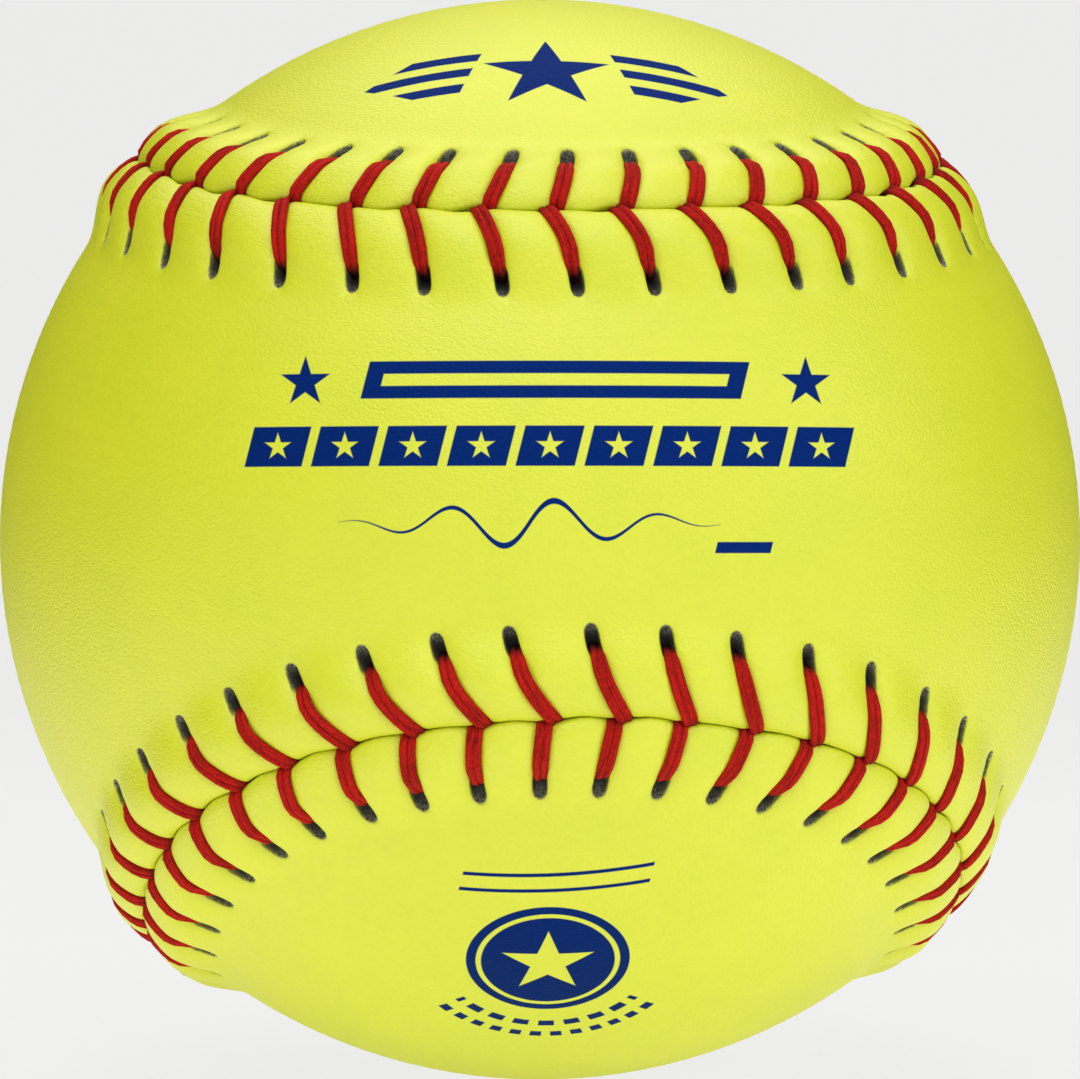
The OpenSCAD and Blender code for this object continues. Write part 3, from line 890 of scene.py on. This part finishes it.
class SOFTBALL_OT_cover(bpy.types.Operator):
    """Makes one leather panel, with its roll, puffs, scalloped lip and needle holes"""
    bl_idname = "softball.cover"
    bl_label = "Leather panel"
    side: EnumProperty(name="Side", items=[("FRONT", "Front", "The panel whose waist faces the viewer"),
                                           ("BACK", "Back", "The panel whose lobes lie above and below it")])

    def execute(self, context):
        side = FRONT if self.side == "FRONT" else BACK
        name = "cover_panel_" + SIDE_NAMES[side]
        mesh = panel_mesh(Seam(), side)
        material = leather(side, front_marks if side == FRONT else lobe_marks)
        link_piece("leather_panel_" + SIDE_NAMES[side], mesh, material, "cover_leather", name)
        return {"FINISHED"}


class SOFTBALL_OT_stitches(bpy.types.Operator):
    """Makes the visible legs of the doubled thread on both panels"""
    bl_idname = "softball.stitches"
    bl_label = "Stitches"

    def execute(self, context):
        seam = Seam()
        material = thread_finish("thread")
        for side, name in SIDE_NAMES.items():
            link_piece("thread_legs_" + name, leg_mesh(seam, side), material, "thread", "stitches_" + name)
        return {"FINISHED"}


class SOFTBALL_OT_insides(bpy.types.Operator):
    """Gives the core, the cement and the hidden thread their finishes"""
    bl_idname = "softball.insides"
    bl_label = "Insides"

    def execute(self, context):
        colours = context.scene.ball_colours
        dress_node("core", plain_finish("core_foam", colours.core, colours.core_deep, 1.5, 0.7, 0.03))
        dress_node("cement_film", plain_finish("cement", colours.cement, colours.cement_deep, 0.8, 0.6, 0.05))
        hidden = thread_finish("hidden_thread")
        for name in SIDE_NAMES.values():
            dress_node("thread_under_" + name, hidden)
        return {"FINISHED"}


# The floor lies a tenth of a millimetre below the ball
FLOOR_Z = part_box("cover_panel_back")[0][2] - 0.1 * MM

# Softboxes: place, width and height in metres, power in watts, and colour
LAMPS = {
    "key_top": ((-0.1, -0.3, 1.0), (0.9, 1.0), 5.2, (1.0, 0.96, 0.9)),
    "key_front": ((0.0, -0.8, 0.75), (1.2, 0.7), 5.2, (0.94, 0.98, 1.0)),
    "key_back": ((0.0, 0.35, 0.8), (1.0, 0.5), 3.4, (1.0, 0.96, 0.95)),
    "fill_front": ((0.0, -1.2, 0.2), (1.0, 0.6), 0.8, (0.9, 0.95, 1.0)),
    "side_right": ((1.1, -0.6, 0.5), (0.7, 0.7), 5.8, (0.98, 0.99, 0.85)),
    "side_left": ((-1.1, -0.6, 0.5), (0.7, 0.7), 2.6, (1.0, 0.95, 0.32)),
    "light_table": ((0.0, 0.0, FLOOR_Z + 0.0003), (0.5, 0.4), 0.27, (1.0, 0.95, 0.88)),
}

# Flat tones of the backdrop and of the surround beyond it, as the camera sees them, and the surround's light
BACKDROP = 0.89
SURROUND = 0.83
SURROUND_LIGHT = 0.01

# The camera's distance in metres, and its lens and sensor in mm
CAMERA_Y = -0.4143
LENS = 166.8
SENSOR_W = 36


def point_at_ball(thing):
    thing.rotation_euler = (-Vector(thing.location)).to_track_quat("-Z", "Y").to_euler()


def stage_sheet():
    """A floor that curves up into a wall behind the ball, from one grid."""
    mesh = bpy.data.meshes.new("stage")
    bm = bmesh.new()
    flat_grid(bm, 1, 48)
    bm.to_mesh(mesh)
    bm.free()
    flat = read_floats(mesh.vertices, "co", 3)
    width, front, back, radius, wall = 0.6, -2.2, 0.9, 0.6, 1.8
    arc = radius * math.pi / 2
    run = flat[:, 1] * (back - front + arc + wall)
    curve = np.clip((run - (back - front)) / radius, 0, math.pi / 2)
    y = front + np.minimum(run, back - front) + radius * np.sin(curve)
    z = radius * (1 - np.cos(curve)) + np.maximum(run - (back - front) - arc, 0)
    mesh.vertices.foreach_set("co", np.stack([(flat[:, 0] - 0.5) * width, y, z + FLOOR_Z], -1).ravel())
    close_mesh(mesh)
    return mesh


def stage_paper():
    """Pale paper: mostly its flat colour to the camera, so that the picture's ground is even."""
    nodes = Nodes("stage_paper", Roughness=0.9, Specular_IOR_Level=0.1, Base_Color=(0.85, 0.85, 0.85, 1))
    glow = nodes.tree.nodes.new("ShaderNodeEmission")
    glow.inputs["Color"].default_value = (BACKDROP, BACKDROP, BACKDROP, 1)
    nodes.surface(nodes.add("ShaderNodeLightPath", {}, {}, "Is Camera Ray") * 0.9, glow)
    return nodes.material


def studio_world():
    """A dim surround that looks as pale as the backdrop to the camera."""
    world = bpy.data.worlds.new("studio")
    world.use_nodes = True
    tree = world.node_tree
    dim = tree.nodes["Background"]
    dim.inputs["Strength"].default_value = SURROUND_LIGHT
    pale = tree.nodes.new("ShaderNodeBackground")
    for ground, tone in ((dim, 1.0), (pale, SURROUND)):
        ground.inputs["Color"].default_value = (tone, tone, tone, 1)
    choice = tree.nodes.new("ShaderNodeMixShader")
    path = tree.nodes.new("ShaderNodeLightPath")
    tree.links.new(path.outputs["Is Camera Ray"], choice.inputs["Fac"])
    tree.links.new(dim.outputs["Background"], choice.inputs[1])
    tree.links.new(pale.outputs["Background"], choice.inputs[2])
    tree.links.new(choice.outputs["Shader"], tree.nodes["World Output"].inputs["Surface"])
    return world


class SOFTBALL_OT_stage(bpy.types.Operator):
    """Sets the pale floor and backdrop, the softboxes, the world and the camera"""
    bl_idname = "softball.stage"
    bl_label = "Stage"

    def execute(self, context):
        scene = context.scene
        sheet = bpy.data.objects.new("stage", stage_sheet())
        sheet.data.materials.append(stage_paper())
        scene.collection.objects.link(sheet)
        for name, (place, (width, height), power, tint) in LAMPS.items():
            lamp = bpy.data.lights.new(name, "AREA")
            lamp.shape = "RECTANGLE"
            lamp.size, lamp.size_y = width, height
            lamp.energy = power
            lamp.color = tint
            holder = bpy.data.objects.new(name, lamp)
            holder.location = place
            holder.visible_camera = False
            point_at_ball(holder)
            scene.collection.objects.link(holder)
        scene.world = studio_world()
        camera = bpy.data.cameras.new("camera")
        camera.lens = LENS
        camera.sensor_width = SENSOR_W
        camera.clip_start = 0.01
        holder = bpy.data.objects.new("camera", camera)
        holder.location = (0, CAMERA_Y, 0)
        holder.rotation_euler = (math.pi / 2, 0, 0)
        scene.collection.objects.link(holder)
        scene.camera = holder
        scene.view_settings.view_transform = "Standard"
        return {"FINISHED"}


class SOFTBALL_PT_panel(bpy.types.Panel):
    """Lists the softball's sizes, colours and steps"""
    bl_idname = "SOFTBALL_PT_panel"
    bl_label = "Softball"
    bl_space_type = "VIEW_3D"
    bl_region_type = "UI"
    bl_category = "Softball"

    def draw(self, context):
        layout = self.layout
        for side in ("FRONT", "BACK"):
            layout.operator("softball.cover", text=side.title() + " panel").side = side
        for name in ("stitches", "insides", "stage"):
            layout.operator("softball." + name)
        for group in (context.scene.ball_sizes, context.scene.ball_colours):
            for prop in group.bl_rna.properties:
                if prop.identifier not in ("rna_type", "name"):
                    layout.prop(group, prop.identifier)


CLASSES = (BallSizes, BallColours, SOFTBALL_OT_cover, SOFTBALL_OT_stitches, SOFTBALL_OT_insides,
           SOFTBALL_OT_stage, SOFTBALL_PT_panel)


def register():
    for cls in CLASSES:
        bpy.utils.register_class(cls)
    bpy.types.Scene.ball_sizes = PointerProperty(type=BallSizes)
    bpy.types.Scene.ball_colours = PointerProperty(type=BallColours)


def unregister():
    del bpy.types.Scene.ball_colours
    del bpy.types.Scene.ball_sizes
    for cls in reversed(CLASSES):
        bpy.utils.unregister_class(cls)


def main():
    register()
    bpy.ops.softball.stage()
    bpy.ops.softball.cover(side="FRONT")
    bpy.ops.softball.cover(side="BACK")
    bpy.ops.softball.stitches()
    bpy.ops.softball.insides()


if __name__ == "__main__":
    main()
